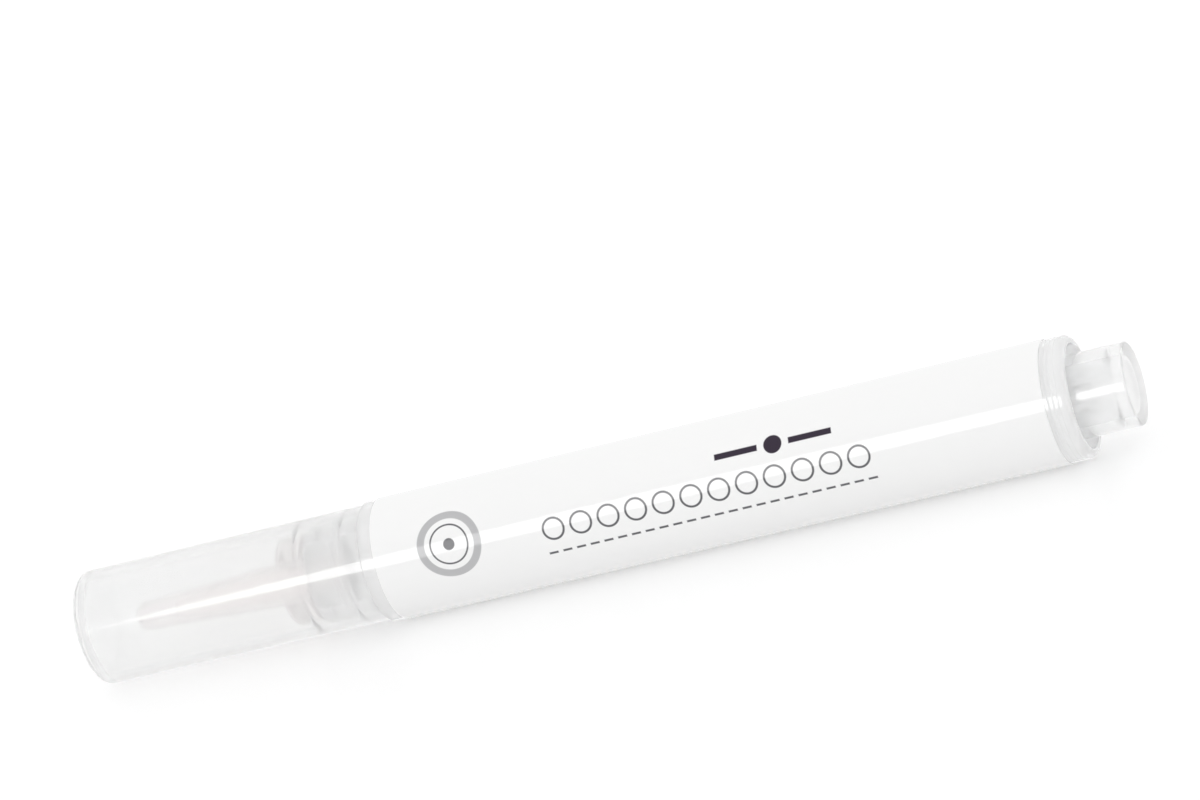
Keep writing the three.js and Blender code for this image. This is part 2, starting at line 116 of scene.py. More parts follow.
BARREL_FRONT, BARREL_REAR = ends("barrel")
BARREL_RADIUS = 7.18
BARREL_BORE = 5.85
FRONT_SOCKET = {"radius": 6.15, "depth": 8.3}
REAR_SOCKET = {"radius": 6.1, "depth": 11.4}
FRONT_ROUND = 0.1
REAR_ROUND = 0.75
MOUTH_EDGE = 0.25
RIM_LINES = {"count": 3, "pitch": 0.55, "depth": 0.025, "width": 0.24}

LABEL_FRONT, LABEL_REAR = ends("label_sleeve")
LABEL_INNER = 7.2
# A hair is left, so that rounding never takes the film past the box of its solid
FILM_SPARE = 0.0001
LABEL_RADIUS = min(label_high.y, AXIS_Z) / MM - FILM_SPARE

NECK_FRONT, PLUG_END = ends("nozzle_seat")
NECK = {"length": 7.8, "radius": 5.75, "corner": 0.6}
NECK_BEAD = {"height": 0.14, "width": 1.0, "at": 4.0}
PLUG_RADIUS = 5.95
PLUG_RIB = {"height": 0.12, "width": 0.9, "count": 2}
PLUG_LEAD = {"length": 0.4, "depth": 0.3}
TAIL_HOLE = {"radius": 2.3, "depth": 3.0}
BARB_POCKET = {"radius": 2.8, "depth": 1.5, "cone": 0.8}
FEED_HOLE = 1.2
CUP = {"floor": 8.4, "radius": 4.9, "draft": 0.2, "cone": 2.4}

TIP_FRONT, TAIL_END = ends("applicator_tip")
CONE = {"length": 20.0, "base": 2.6, "tip": 1.65, "tip_round": 1.5, "foot": 0.35}
FLANGE = {"radius": 5.25, "thickness": 3.7, "corner": 0.6}
TAIL_RADIUS = 2.2
BARB = {"radius": 2.65, "start": 3.1, "land": 0.3, "lead": 0.3}
FLOW_BORE = {"end": 0.9, "base": 1.8, "tail": 1.5}
SLIT = {"length": 5.4, "width": 0.3}

BUTTON_FRONT, BUTTON_END = ends("push_button")
BUTTON = {"radius": 4.91, "corner": 0.35, "end_wall": 1.8}
BUTTON_BORE = {"radius": 3.95, "depth": 9.3, "rear_radius": 3.4, "corner": 1.2}
BUTTON_FLANGE = {"radius": 5.6, "thickness": 1.5}
COLLAR_FRONT, COLLAR_REAR = ends("rear_collar")
COLLAR = {"bore": 5.02, "radius": 6.02}
COLLAR_RIB = {"height": 0.06, "width": 0.5, "from_rear": 0.75}

# Screw feed
PISTON_FRONT, PISTON_REAR = ends("piston")
PISTON_CONE = {"length": 4.0, "nose": 0.9, "base": 4.4}
PISTON_SKIRT = {"radius": 5.3, "wall": 0.6, "floor": 2.6}
PISTON_LIP = {"radius": 5.78, "rake": 0.2, "start": 0.3, "end": 0.9, "root": 1.8, "groove": 4.9}
PISTON_BOSS = {"radius": 3.3, "sunk": 0.4}
PISTON_SOCKET = {"throat": 1.75, "throat_length": 2.0, "radius": 2.25, "depth": 4.4}
PISTON_ROUND = 0.4
NUT_FRONT, NUT_REAR = ends("spindle_nut")
NUT = {"radius": 5.75, "floor": 1.5, "hub": 3.2, "hub_length": 4.1, "skirt": 0.75, "bore": 2.1}
SPINDLE_FRONT, SPINDLE_REAR = ends("screw_spindle")
SPINDLE = {"radius": 2.0, "flat": 1.5}
SNAP_HEAD = {"radius": 2.1, "length": 2.0, "neck": 1.6, "neck_length": 2.2, "cone": 0.4}
THREAD = {"lead": 3.0, "starts": 2, "root": 1.72, "crest_width": 0.45, "flank": 0.25, "steps": 48}
SPRING_FRONT, SPRING_REAR = ends("return_spring")
SPRING = {"radius": 4.1, "wire": 0.3, "turns": 6, "steps": 48, "wire_sides": 16}


def clear_selection():
    if bpy.context.object and bpy.context.object.mode != "OBJECT":
        bpy.ops.object.mode_set(mode="OBJECT")
    bpy.ops.object.select_all(action="DESELECT")


def name_piece(name):
    piece = bpy.context.active_object
    piece.name = name
    piece.data.name = name
    return piece


def first_point(name, point):
    """Plane shrunk to a single point, left in edit mode."""
    clear_selection()
    bpy.ops.mesh.primitive_plane_add(size=MM)
    piece = name_piece(name)
    bpy.ops.object.mode_set(mode="EDIT")
    bpy.ops.mesh.select_mode(type="VERT")
    bpy.ops.mesh.select_all(action="SELECT")
    bpy.ops.mesh.merge(type="CENTER")
    bpy.ops.transform.translate(value=point)
    return piece


def extrude_to(here, stop):
    """Draws the selected point on from here to the next stop of an outline."""
    bpy.ops.mesh.extrude_region_move(TRANSFORM_OT_translate={"value": stop - here})


def weld():
    bpy.ops.mesh.select_all(action="SELECT")
    bpy.ops.mesh.remove_doubles(threshold=WELD)


def face_outwards():
    bpy.ops.mesh.select_all(action="SELECT")
    bpy.ops.mesh.normals_make_consistent(inside=False)
    bpy.ops.object.mode_set(mode="OBJECT")


def round_corner(piece, corner, size):
    """Bevels the point of an outline that lies at a corner."""
    mesh = bmesh.from_edit_mesh(piece.data)
    for point in mesh.verts:
        point.select_set((point.co - corner).length < WELD)
    mesh.select_flush_mode()
    bmesh.update_edit_mesh(piece.data)
    bpy.ops.mesh.bevel(offset=size, segments=CORNER_STEPS, affect="VERTICES", profile=CORNER_ARC)


def shade(piece):
    """Smooth shading in which the large faces keep their true normals beside small rounded edges."""
    bpy.ops.object.shade_smooth_by_angle(angle=SMOOTH_ANGLE)
    step = piece.modifiers.new("true_normals", "WEIGHTED_NORMAL")
    step.keep_sharp = True
    bpy.ops.object.modifier_apply(modifier=step.name)


def turned(name, corners, steps=PLAIN_TURN):
    """Piece turned about the pen's axis; an outline that never meets the axis closes on itself.

    A corner that is given without a rounding is sharp.
    """
    corners = [(*corner, 0.0)[:3] for corner in corners]
    stops = [place(station, radius) for station, radius, _ in corners]
    is_ring = min(radius for _, radius, _ in corners) > 0
    piece = first_point(name, stops[0])
    route = stops + stops[:1] if is_ring else stops
    for here, stop in zip(route, route[1:]):
        extrude_to(here, stop)
    weld()
    for stop, (_, _, rounding) in zip(stops, corners):
        if rounding:
            round_corner(piece, stop, rounding * MM)
    bpy.ops.mesh.select_all(action="SELECT")
    bpy.ops.mesh.spin(steps=steps, angle=2 * math.pi, center=AXIS_POINT, axis=PEN_AXIS)
    weld()
    face_outwards()
    shade(piece)
    return piece


def bead(radius, height, width, middle):
    """Corners of a low rounded ring on a wall, front to rear; a negative height goes towards the axis."""
    crest = width * BEAD_CREST
    rounding = width * BEAD_ROUND
    return [
        (middle - width / 2, radius, rounding),
        (middle - crest / 2, radius + height, rounding),
        (middle + crest / 2, radius + height, rounding),
        (middle + width / 2, radius, rounding),
    ]


def boolean(piece, tool, operation):
    """Joins or cuts the piece with the tool and removes the tool."""
    clear_selection()
    bpy.context.view_layer.objects.active = piece
    piece.select_set(True)
    step = piece.modifiers.new(operation.lower(), "BOOLEAN")
    step.operation = operation
    step.solver = "EXACT"
    step.object = tool
    bpy.ops.object.modifier_apply(modifier=step.name)
    bpy.data.objects.remove(tool, do_unlink=True)


def dress(piece, node, body, material):
    piece.data.materials.clear()
    piece.data.materials.append(material)
    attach(piece, body)
    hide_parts(node)


# Pieces


def make_cap():
    skirt = CAP_REAR - CAP_SKIRT["depth"]
    end_wall = CAP_FRONT + CAP_END_WALL
    gate = CAP_FRONT + CAP_GATE["depth"]
    bead_middle = CAP_REAR - CAP_BEAD["from_rim"]
    snap_bead = bead(CAP_SKIRT["bore"], -CAP_BEAD["height"], CAP_BEAD["width"], bead_middle)
    return turned("cap_shell", [
        (gate, 0.0),
        (gate, CAP_GATE["radius"] - CAP_GATE["depth"]),
        (CAP_FRONT, CAP_GATE["radius"]),
        (CAP_FRONT, CAP_RADIUS, CAP_CORNER),
        (CAP_REAR, CAP_RADIUS, CAP_RIM),
        (CAP_REAR, CAP_SKIRT["bore"], CAP_RIM),
        *reversed(snap_bead),
        (skirt, CAP_SKIRT["bore"], EDGE),
        (skirt - CAP_SKIRT["cone"], CAP_BORE["radius"], EDGE),
        (end_wall, CAP_BORE["radius"] - CAP_BORE["draft"], CAP_BORE["corner"]),
        (end_wall, 0.0),
    ], FINE_TURN)


def make_tip():
    """Hollow silicone cone on a thick flange, with a barbed tail and a slit through its end."""
    cone_end = TIP_FRONT + CONE["length"]
    flange_end = cone_end + FLANGE["thickness"]
    barb = flange_end + BARB["start"]
    bore_end = TIP_FRONT + SLIT["length"]
    tip = turned("silicone_tip", [
        (TIP_FRONT, 0.0),
        (TIP_FRONT, CONE["tip"], CONE["tip_round"]),
        (cone_end, CONE["base"], CONE["foot"]),
        (cone_end, FLANGE["radius"], FLANGE["corner"]),
        (flange_end, FLANGE["radius"], FLANGE["corner"]),
        (flange_end, TAIL_RADIUS),
        (barb, TAIL_RADIUS),
        (barb, BARB["radius"], FINE_EDGE),
        (barb + BARB["land"], BARB["radius"], FINE_EDGE),
        (TAIL_END, TAIL_RADIUS - BARB["lead"], FINE_EDGE),
        (TAIL_END, FLOW_BORE["tail"], FINE_EDGE),
        (flange_end, FLOW_BORE["tail"], EDGE),
        (cone_end, FLOW_BORE["base"], EDGE),
        (bore_end, FLOW_BORE["end"], EDGE),
        (bore_end, 0.0),
    ])
    # The blade is centred on the end of the tip: half its length reaches the bore, and it passes the cone
    blade_length = 2 * (SLIT["length"] + SLIT["width"])
    blade_breadth = 4 * CONE["base"]
    clear_selection()
    bpy.ops.mesh.primitive_cube_add(size=1.0, location=place(TIP_FRONT, 0.0))
    blade = name_piece("slit_blade")
    bpy.ops.transform.resize(value=(blade_length * MM, blade_breadth * MM, SLIT["width"] * MM))
    boolean(tip, blade, "DIFFERENCE")
    shade(tip)
    return tip


def make_neck():
    """Neck that carries the tip and snaps into the cap, with a ribbed plug and a feed cup behind it."""
    face = NECK_FRONT + NECK["length"]
    pocket = NECK_FRONT + TAIL_HOLE["depth"]
    pocket_end = pocket + BARB_POCKET["depth"]
    cup_floor = NECK_FRONT + CUP["floor"]
    bead_middle = NECK_FRONT + NECK_BEAD["at"]
    rib_pitch = (PLUG_END - face) / (PLUG_RIB["count"] + 1)
    ribs = []
    for number in range(1, PLUG_RIB["count"] + 1):
        ribs += bead(PLUG_RADIUS, PLUG_RIB["height"], PLUG_RIB["width"], face + number * rib_pitch)
    return turned("neck_seat", [
        (NECK_FRONT, TAIL_HOLE["radius"], EDGE),
        (NECK_FRONT, NECK["radius"], NECK["corner"]),
        *bead(NECK["radius"], NECK_BEAD["height"], NECK_BEAD["width"], bead_middle),
        (face, NECK["radius"]),
        (face + EDGE, PLUG_RADIUS),
        *ribs,
        (PLUG_END - PLUG_LEAD["length"], PLUG_RADIUS),
        (PLUG_END, PLUG_RADIUS - PLUG_LEAD["depth"]),
        (PLUG_END, CUP["radius"]),
        (cup_floor + CUP["cone"], CUP["radius"] - CUP["draft"], CUP["draft"]),
        (cup_floor, FEED_HOLE, EDGE),
        (pocket_end + BARB_POCKET["cone"], FEED_HOLE),
        (pocket_end, BARB_POCKET["radius"], EDGE),
        (pocket, BARB_POCKET["radius"]),
        (pocket, TAIL_HOLE["radius"]),
    ], FINE_TURN)


def make_barrel():
    """Clear tube whose front face all but meets the cap, with fine lines round its rear rim."""
    front = CAP_REAR + CAP_GAP
    front_ledge = BARREL_FRONT + FRONT_SOCKET["depth"]
    rear_ledge = BARREL_REAR - REAR_SOCKET["depth"]
    rim_lines = []
    for number in range(1, RIM_LINES["count"] + 1):
        middle = LABEL_REAR + number * RIM_LINES["pitch"]
        rim_lines += bead(BARREL_RADIUS, -RIM_LINES["depth"], RIM_LINES["width"], middle)
    return turned("barrel_tube", [
        (front, FRONT_SOCKET["radius"], EDGE),
        (front, BARREL_RADIUS, FRONT_ROUND),
        *rim_lines,
        (BARREL_REAR, BARREL_RADIUS, REAR_ROUND),
        (BARREL_REAR, REAR_SOCKET["radius"], MOUTH_EDGE),
        (rear_ledge, REAR_SOCKET["radius"]),
        (rear_ledge, BARREL_BORE, EDGE),
        (front_ledge, BARREL_BORE, EDGE),
        (front_ledge, FRONT_SOCKET["radius"]),
    ], FINE_TURN)


def make_label():
    rounding = (LABEL_RADIUS - LABEL_INNER) / 3
    return turned("label_film", [
        (LABEL_FRONT, LABEL_INNER),
        (LABEL_FRONT, LABEL_RADIUS, rounding),
        (LABEL_REAR, LABEL_RADIUS, rounding),
        (LABEL_REAR, LABEL_INNER),
    ], FINE_TURN)


def make_collar():
    rib_middle = COLLAR_REAR - COLLAR_RIB["from_rear"]
    return turned("mouth_collar", [
        (COLLAR_FRONT, COLLAR["bore"], EDGE),
        (COLLAR_FRONT, COLLAR["radius"], EDGE),
        *bead(COLLAR["radius"], COLLAR_RIB["height"], COLLAR_RIB["width"], rib_middle),
        (COLLAR_REAR, COLLAR["radius"], MOUTH_EDGE),
        (COLLAR_REAR, COLLAR["bore"], MOUTH_EDGE),
    ], FINE_TURN)


def make_button():
    inner_end = BUTTON_END - BUTTON["end_wall"]
    bore_end = BUTTON_FRONT + BUTTON_BORE["depth"]
    flange_end = BUTTON_FRONT + BUTTON_FLANGE["thickness"]
    return turned("click_button", [
        (inner_end, 0.0),
        (inner_end, BUTTON_BORE["rear_radius"], BUTTON_BORE["corner"]),
        (bore_end, BUTTON_BORE["rear_radius"]),
        (bore_end, BUTTON_BORE["radius"]),
        (BUTTON_FRONT, BUTTON_BORE["radius"], FINE_EDGE),
        (BUTTON_FRONT, BUTTON_FLANGE["radius"], EDGE),
        (flange_end, BUTTON_FLANGE["radius"], EDGE),
        (flange_end, BUTTON["radius"]),
        (BUTTON_END, BUTTON["radius"], BUTTON["corner"]),
        (BUTTON_END, 0.0),
    ], FINE_TURN)


def make_piston():
    """Piston with a front cone, a sealing lip at each end and a snap socket for the spindle's head."""
    front = PISTON_FRONT + PISTON_CONE["length"]
    rear = PISTON_REAR
    waist = PISTON_SKIRT["radius"]
    skirt_bore = waist - PISTON_SKIRT["wall"]
    skirt_floor = front + PISTON_SKIRT["floor"]
    lip = PISTON_LIP
    lip_edge = lip["radius"] - lip["rake"]
    boss_end = rear - PISTON_BOSS["sunk"]
    throat_end = rear - PISTON_SOCKET["throat_length"]
    socket_end = rear - PISTON_SOCKET["depth"]
    return turned("piston_seal", [
        (PISTON_FRONT, 0.0),
        (PISTON_FRONT, PISTON_CONE["nose"], PISTON_ROUND),
        (front, PISTON_CONE["base"], PISTON_ROUND),
        (front + lip["end"], lip["groove"]),
        (front, lip_edge),
        (front + lip["start"], lip["radius"], FINE_EDGE),
        (front + lip["end"], lip["radius"], EDGE),
        (front + lip["root"], waist, EDGE),
        (rear - lip["root"], waist, EDGE),
        (rear - lip["end"], lip["radius"], EDGE),
        (rear - lip["start"], lip["radius"], FINE_EDGE),
        (rear, lip_edge),
        (rear - lip["end"], skirt_bore),
        (skirt_floor, skirt_bore, PISTON_ROUND),
        (skirt_floor, PISTON_BOSS["radius"], PISTON_ROUND),
        (boss_end, PISTON_BOSS["radius"], EDGE),
        (boss_end, PISTON_SOCKET["throat"], EDGE),
        (throat_end, PISTON_SOCKET["throat"], FINE_EDGE),
        (throat_end, PISTON_SOCKET["radius"]),
        (socket_end, PISTON_SOCKET["radius"]),
        (socket_end, 0.0),
    ])


def make_nut():
    skirt_bore = NUT["radius"] - NUT["skirt"]
    hub_end = NUT_FRONT + NUT["hub_length"]
    floor = NUT_FRONT + NUT["floor"]
    return turned("screw_nut", [
        (NUT_FRONT, NUT["bore"], EDGE),
        (NUT_FRONT, NUT["radius"], EDGE),
        (NUT_REAR, NUT["radius"], EDGE),
        (NUT_REAR, skirt_bore, EDGE),
        (floor, skirt_bore, EDGE),
        (floor, NUT["hub"], EDGE),
        (hub_end, NUT["hub"], EDGE),
        (hub_end, NUT["bore"], EDGE),
    ])


def wind(piece, lead, turns, steps):
    """Winds the outline of a piece about the pen's axis as a screw, and leaves it in edit mode."""
    bpy.ops.object.mode_set(mode="OBJECT")
    pivot = bpy.data.objects.new("winding_axis", None)
    pivot.location = AXIS_POINT
    bpy.context.scene.collection.objects.link(pivot)
    bpy.context.view_layer.update()
    step = piece.modifiers.new("winding", "SCREW")
    step.axis = "X"
    step.object = pivot
    step.screw_offset = lead * MM
    step.iterations = turns
    step.steps = steps
    step.render_steps = steps
    bpy.ops.object.modifier_apply(modifier=step.name)
    bpy.data.objects.remove(pivot, do_unlink=True)
    bpy.ops.object.mode_set(mode="EDIT")
    weld()


def trim(point, outward):
    """Cuts the mesh in edit mode at a plane, drops what lies outside and closes the cut."""
    bpy.ops.mesh.select_all(action="SELECT")
    bpy.ops.mesh.bisect(plane_co=point, plane_no=outward, use_fill=True, clear_outer=True)


def make_spindle():
    """Rod with a thread of two starts, cut by two flats, and a snap head for the piston."""
    head_end = SPINDLE_FRONT + SNAP_HEAD["length"]
    shoulder = head_end + SNAP_HEAD["neck_length"]
    neck_end = shoulder + SNAP_HEAD["cone"]
    lead = THREAD["lead"]
    pitch = lead / THREAD["starts"]
    root_width = pitch - THREAD["crest_width"] - 2 * THREAD["flank"]
    ridge = [
        (root_width, THREAD["root"]),
        (root_width + THREAD["flank"], SPINDLE["radius"]),
        (pitch - THREAD["flank"], SPINDLE["radius"]),
        (pitch, THREAD["root"]),
    ]
    start = shoulder - lead
    here = place(start, THREAD["root"])
    rod = first_point("threaded_spindle", here)
    for number in range(THREAD["starts"]):
        for offset, radius in ridge:
            stop = place(start + number * pitch + offset, radius)
            extrude_to(here, stop)
            here = stop
    # One turn more than the rod needs, which the trim takes off
    turns = math.ceil((SPINDLE_REAR - start) / lead) + 1
    wind(rod, lead, turns, THREAD["steps"])
    trim(place(shoulder, 0.0), (-1, 0, 0))
    trim(place(SPINDLE_REAR, 0.0), (1, 0, 0))
    trim(place(shoulder, SPINDLE["flat"]), (0, 0, 1))
    trim(place(shoulder, -SPINDLE["flat"]), (0, 0, -1))
    face_outwards()
    head = turned("snap_head", [
        (SPINDLE_FRONT, 0.0),
        (SPINDLE_FRONT, SNAP_HEAD["radius"], SNAP_HEAD["cone"]),
        (head_end, SNAP_HEAD["radius"], FINE_EDGE),
        (head_end, SNAP_HEAD["neck"]),
        (shoulder, SNAP_HEAD["neck"]),
        (neck_end, SPINDLE["flat"]),
        (neck_end, 0.0),
    ])
    boolean(rod, head, "UNION")
    shade(rod)
    return rod


def make_spring():
    wire = SPRING["wire"]
    first = SPRING_FRONT + wire
    pitch = (SPRING_REAR - SPRING_FRONT - 2 * wire) / SPRING["turns"]
    spring = first_point("coil_spring", place(first, SPRING["radius"] + wire))
    middle = place(first, SPRING["radius"])
    bpy.ops.mesh.spin(steps=SPRING["wire_sides"], angle=2 * math.pi, center=middle, axis=(0, 1, 0))
    weld()
    wind(spring, pitch, SPRING["turns"], SPRING["steps"])
    bpy.ops.mesh.fill_holes(sides=0)
    face_outwards()
    shade(spring)
    return spring


# Finishes: noise scales are per metre, and each pair of numbers is a range of roughness

CLEAR = (0.998, 0.999, 1.0)
CLEAR_FAINT = (0.988, 0.989, 0.99)
CLEAR_DIM = (0.969, 0.968, 0.967)
CLEAR_POLISH = 0.08
CAP_CLEAR = {"dim": CLEAR_FAINT, "haze": (0.12, 0.20), "ior": 1.49, "clearness": 0.77}
NECK_CLEAR = {"dim": CLEAR_DIM, "haze": (0.18, 0.28), "ior": 1.49, "clearness": 0.72}
BARREL_CLEAR = {"dim": CLEAR_FAINT, "haze": (0.08, 0.14), "ior": 1.5, "clearness": 0.38}
BUTTON_CLEAR = {"dim": CLEAR_FAINT, "haze": (0.08, 0.14), "ior": 1.49, "clearness": 0.72}
COLLAR_CLEAR = {"dim": CLEAR_FAINT, "haze": (0.10, 0.20), "ior": 1.49, "clearness": 0.1}
FLOW_MARKS = {"scale": 330.0, "detail": 2.0, "stretch": (0.07, 1.0, 1.0)}
SKIN_WAVES = {"scale": 90.0, "detail": 1.0, "stretch": (0.2, 1.0, 1.0)}
SKIN_RELIEF = {"depth": 0.00001, "strength": 0.3}

SILICONE_PALE = (0.991, 0.966, 0.959)
SILICONE_DIM = (0.985, 0.958, 0.950)
SILICONE_SATIN = (0.15, 0.25)
SILICONE_CLEARNESS = 0.85
SILICONE_IOR = 1.41
SILICONE_HAZE = {"scale": 300.0, "detail": 3.0}
SILICONE_GRAIN = {"scale": 1200.0, "detail": 2.0}
SILICONE_RELIEF = {"depth": 0.00001, "strength": 0.3}

PISTON_WHITE = {"pale": (0.93, 0.93, 0.92), "dim": (0.90, 0.90, 0.89), "satin": (0.30, 0.42)}
MOULDED_WHITE = {"pale": (0.95, 0.95, 0.945), "dim": (0.93, 0.93, 0.925), "satin": (0.38, 0.55)}
MOULDED_IOR = 1.5
MOULDED_CLOUDS = {"scale": 700.0, "detail": 4.0}
MOULDED_GRAIN = {"scale": 2500.0, "detail": 2.0}
MOULDED_RELIEF = {"depth": 0.00001, "strength": 0.35}

WIRE_BRIGHT = (0.70, 0.71, 0.73)
WIRE_DULL = (0.55, 0.56, 0.58)
WIRE_POLISH = (0.22, 0.38)
WIRE_DRAWING = {"scale": 1500.0, "detail": 3.0, "stretch": (0.2, 1.0, 1.0)}

FILM_WHITE = (0.945, 0.945, 0.943)
FILM_SHADE = (0.93, 0.93, 0.928)
FILM_GLOSS = (0.05, 0.09)
FILM_IOR = 1.5
FILM_CLOUDS = {"scale": 60.0, "detail": 2.0}
FILM_SMEARS = {"scale": 400.0, "detail": 2.0}
FILM_RIPPLES = {"scale": 900.0, "detail": 1.0}
FILM_RELIEF = {"depth": 0.000004, "strength": 0.25}
# Grey of the painted shade line at the film's overlap seam
SEAM_PAINTED_SHADE = (0.80, 0.80, 0.80)
INK_GREY = (0.10, 0.10, 0.11)
INK_PALE = (0.50, 0.50, 0.51)
INK_PLUM = (0.012, 0.001, 0.02)

# Label print: stations from the front of the label and heights round it from the facing line, in mm
FACING_ANGLE = math.radians(16.9)
INK_EDGE = 0.05
BADGE = {"middle": 9.5, "level": 0.3, "radius": 3.5, "band": 0.9, "inner": 2.3, "line": 0.2, "dot": 0.7}
PLUM = {"middle": 50.0, "level": 3.0, "dot": 1.1, "gap": 0.8, "length": 5.2, "width": 0.75}
RINGS = {"middle": 41.0, "level": -0.7, "count": 12, "pitch": 3.4, "radius": 1.25, "line": 0.26}
DASHES = {"middle": 41.0, "level": -3.6, "count": 24, "pitch": 1.7, "length": 1.1, "width": 0.28}
# Line of painted shade along the film's overlap seam, standing in for the shadow of the film's edge
SEAM = {"level": 20.0, "width": 0.15}

# Sockets of a Mix node that carry colours
MIX_FIRST = 6
MIX_SECOND = 7
MIX_RESULT = 2


class Finish:
    """Material with a Principled shader and short calls for its nodes."""

    def __init__(self, name):
        self.material = bpy.data.materials.new(name)
        self.material.use_nodes = True
        self.nodes = self.material.node_tree.nodes
        self.links = self.material.node_tree.links
        self.shader = self.nodes["Principled BSDF"]

    def set(self, values):
        for name, value in values.items():
            self.shader.inputs[name].default_value = value

    def feed(self, source, name):
        self.links.new(source, self.shader.inputs[name])

    def spot(self):
        """Point on the piece, measured from the closed end of the cap and from the pen's axis."""
        where = self.nodes.new("ShaderNodeTexCoord")
        shift = self.nodes.new("ShaderNodeMapping")
        shift.inputs["Location"].default_value = (-PEN_START, 0.0, -AXIS_Z)
        self.links.new(where.outputs["Object"], shift.inputs["Vector"])
        return shift.outputs["Vector"]

    def noise(self, scale, detail, stretch=(1.0, 1.0, 1.0)):
        shape = self.nodes.new("ShaderNodeMapping")
        shape.inputs["Scale"].default_value = stretch
        self.links.new(self.spot(), shape.inputs["Vector"])
        cloud = self.nodes.new("ShaderNodeTexNoise")
        cloud.inputs["Scale"].default_value = scale
        cloud.inputs["Detail"].default_value = detail
        self.links.new(shape.outputs["Vector"], cloud.inputs["Vector"])
        return cloud.outputs["Fac"]

    def spread(self, value, low, high, start=0.3, stop=0.7):
        """Maps a value from start to stop, by default the useful middle of a noise, to a range."""
        ranger = self.nodes.new("ShaderNodeMapRange")
        ranger.inputs["From Min"].default_value = start
        ranger.inputs["From Max"].default_value = stop
        ranger.inputs["To Min"].default_value = low
        ranger.inputs["To Max"].default_value = high
        self.links.new(value, ranger.inputs["Value"])
        return ranger.outputs["Result"]

    def blend(self, factor, first, second):
        """Colour between two colours or colour sockets."""
        mix = self.nodes.new("ShaderNodeMix")
        mix.data_type = "RGBA"
        self.links.new(factor, mix.inputs["Factor"])
        for number, colour in ((MIX_FIRST, first), (MIX_SECOND, second)):
            if isinstance(colour, tuple):
                mix.inputs[number].default_value = (*colour, 1.0)
            else:
                self.links.new(colour, mix.inputs[number])
        return mix.outputs[MIX_RESULT]

    def bump(self, height, depth, strength):
        relief = self.nodes.new("ShaderNodeBump")
        relief.inputs["Strength"].default_value = strength
        relief.inputs["Distance"].default_value = depth
        self.links.new(height, relief.inputs["Height"])
        self.feed(relief.outputs["Normal"], "Normal")

    def calc(self, operation, first, second=None):
        """Result of a Math node on numbers or sockets."""
        step = self.nodes.new("ShaderNodeMath")
        step.operation = operation
        for socket, value in zip(step.inputs, (first, second)):
            if isinstance(value, (int, float)):
                socket.default_value = value
            elif value is not None:
                self.links.new(value, socket)
        return step.outputs["Value"]


def clear_finish(name, dim, haze, ior, clearness):
    """Hazy clear plastic with a polished skin, whose flow marks run along the pen."""
    finish = Finish(name)
    finish.set({"Transmission Weight": clearness, "IOR": ior})
    finish.set({"Coat Weight": 1.0, "Coat IOR": ior, "Coat Roughness": CLEAR_POLISH})
    flow = finish.noise(**FLOW_MARKS)
    finish.feed(finish.blend(flow, CLEAR, dim), "Base Color")
    finish.feed(finish.spread(flow, *haze), "Roughness")
    finish.bump(finish.noise(**SKIN_WAVES), **SKIN_RELIEF)
    return finish.material


def print_place(finish):
    """Station and height on the label, both in millimetres."""
    parts = finish.nodes.new("ShaderNodeSeparateXYZ")
    finish.links.new(finish.spot(), parts.inputs["Vector"])
    station = finish.calc("DIVIDE", parts.outputs["X"], MM)
    station = finish.calc("SUBTRACT", station, LABEL_FRONT)
    towards = finish.calc("MULTIPLY", parts.outputs["Y"], -1.0)
    angle = finish.calc("ARCTAN2", parts.outputs["Z"], towards)
    height = finish.calc("MULTIPLY", finish.calc("SUBTRACT", angle, FACING_ANGLE), LABEL_RADIUS)
    return station, height


def inked(finish, distance):
    """1 inside a printed shape and 0 outside, from the distance to its edge."""
    return finish.spread(distance, 1.0, 0.0, -INK_EDGE, INK_EDGE)


def ink_bar(finish, station, height, middle, level, length, width):
    along = finish.calc("ABSOLUTE", finish.calc("SUBTRACT", station, middle))
    across = finish.calc("ABSOLUTE", finish.calc("SUBTRACT", height, level))
    beyond = finish.calc("SUBTRACT", along, length / 2)
    above = finish.calc("SUBTRACT", across, width / 2)
    return inked(finish, finish.calc("MAXIMUM", beyond, above))


def from_centre(finish, station, height, middle, level):
    """Distance from the centre of a printed dot or ring."""
    along = finish.calc("SUBTRACT", station, middle)
    across = finish.calc("SUBTRACT", height, level)
    along_squared = finish.calc("MULTIPLY", along, along)
    across_squared = finish.calc("MULTIPLY", across, across)
    return finish.calc("SQRT", finish.calc("ADD", along_squared, across_squared))


def ink_dot(finish, distance, radius):
    return inked(finish, finish.calc("SUBTRACT", distance, radius))


def ink_ring(finish, distance, radius, line):
    off_line = finish.calc("ABSOLUTE", finish.calc("SUBTRACT", distance, radius))
    return inked(finish, finish.calc("SUBTRACT", off_line, line / 2))


def ink_row(finish, station, height, mark):
    """Where a row of marks runs, and the station within each of its equal steps."""
    length = mark["count"] * mark["pitch"]
    within = ink_bar(finish, station, height, mark["middle"], mark["level"], length, mark["pitch"])
    ahead = finish.calc("SUBTRACT", station, mark["middle"] - length / 2)
    local = finish.calc("MODULO", finish.calc("ADD", ahead, length), mark["pitch"])
    return within, local


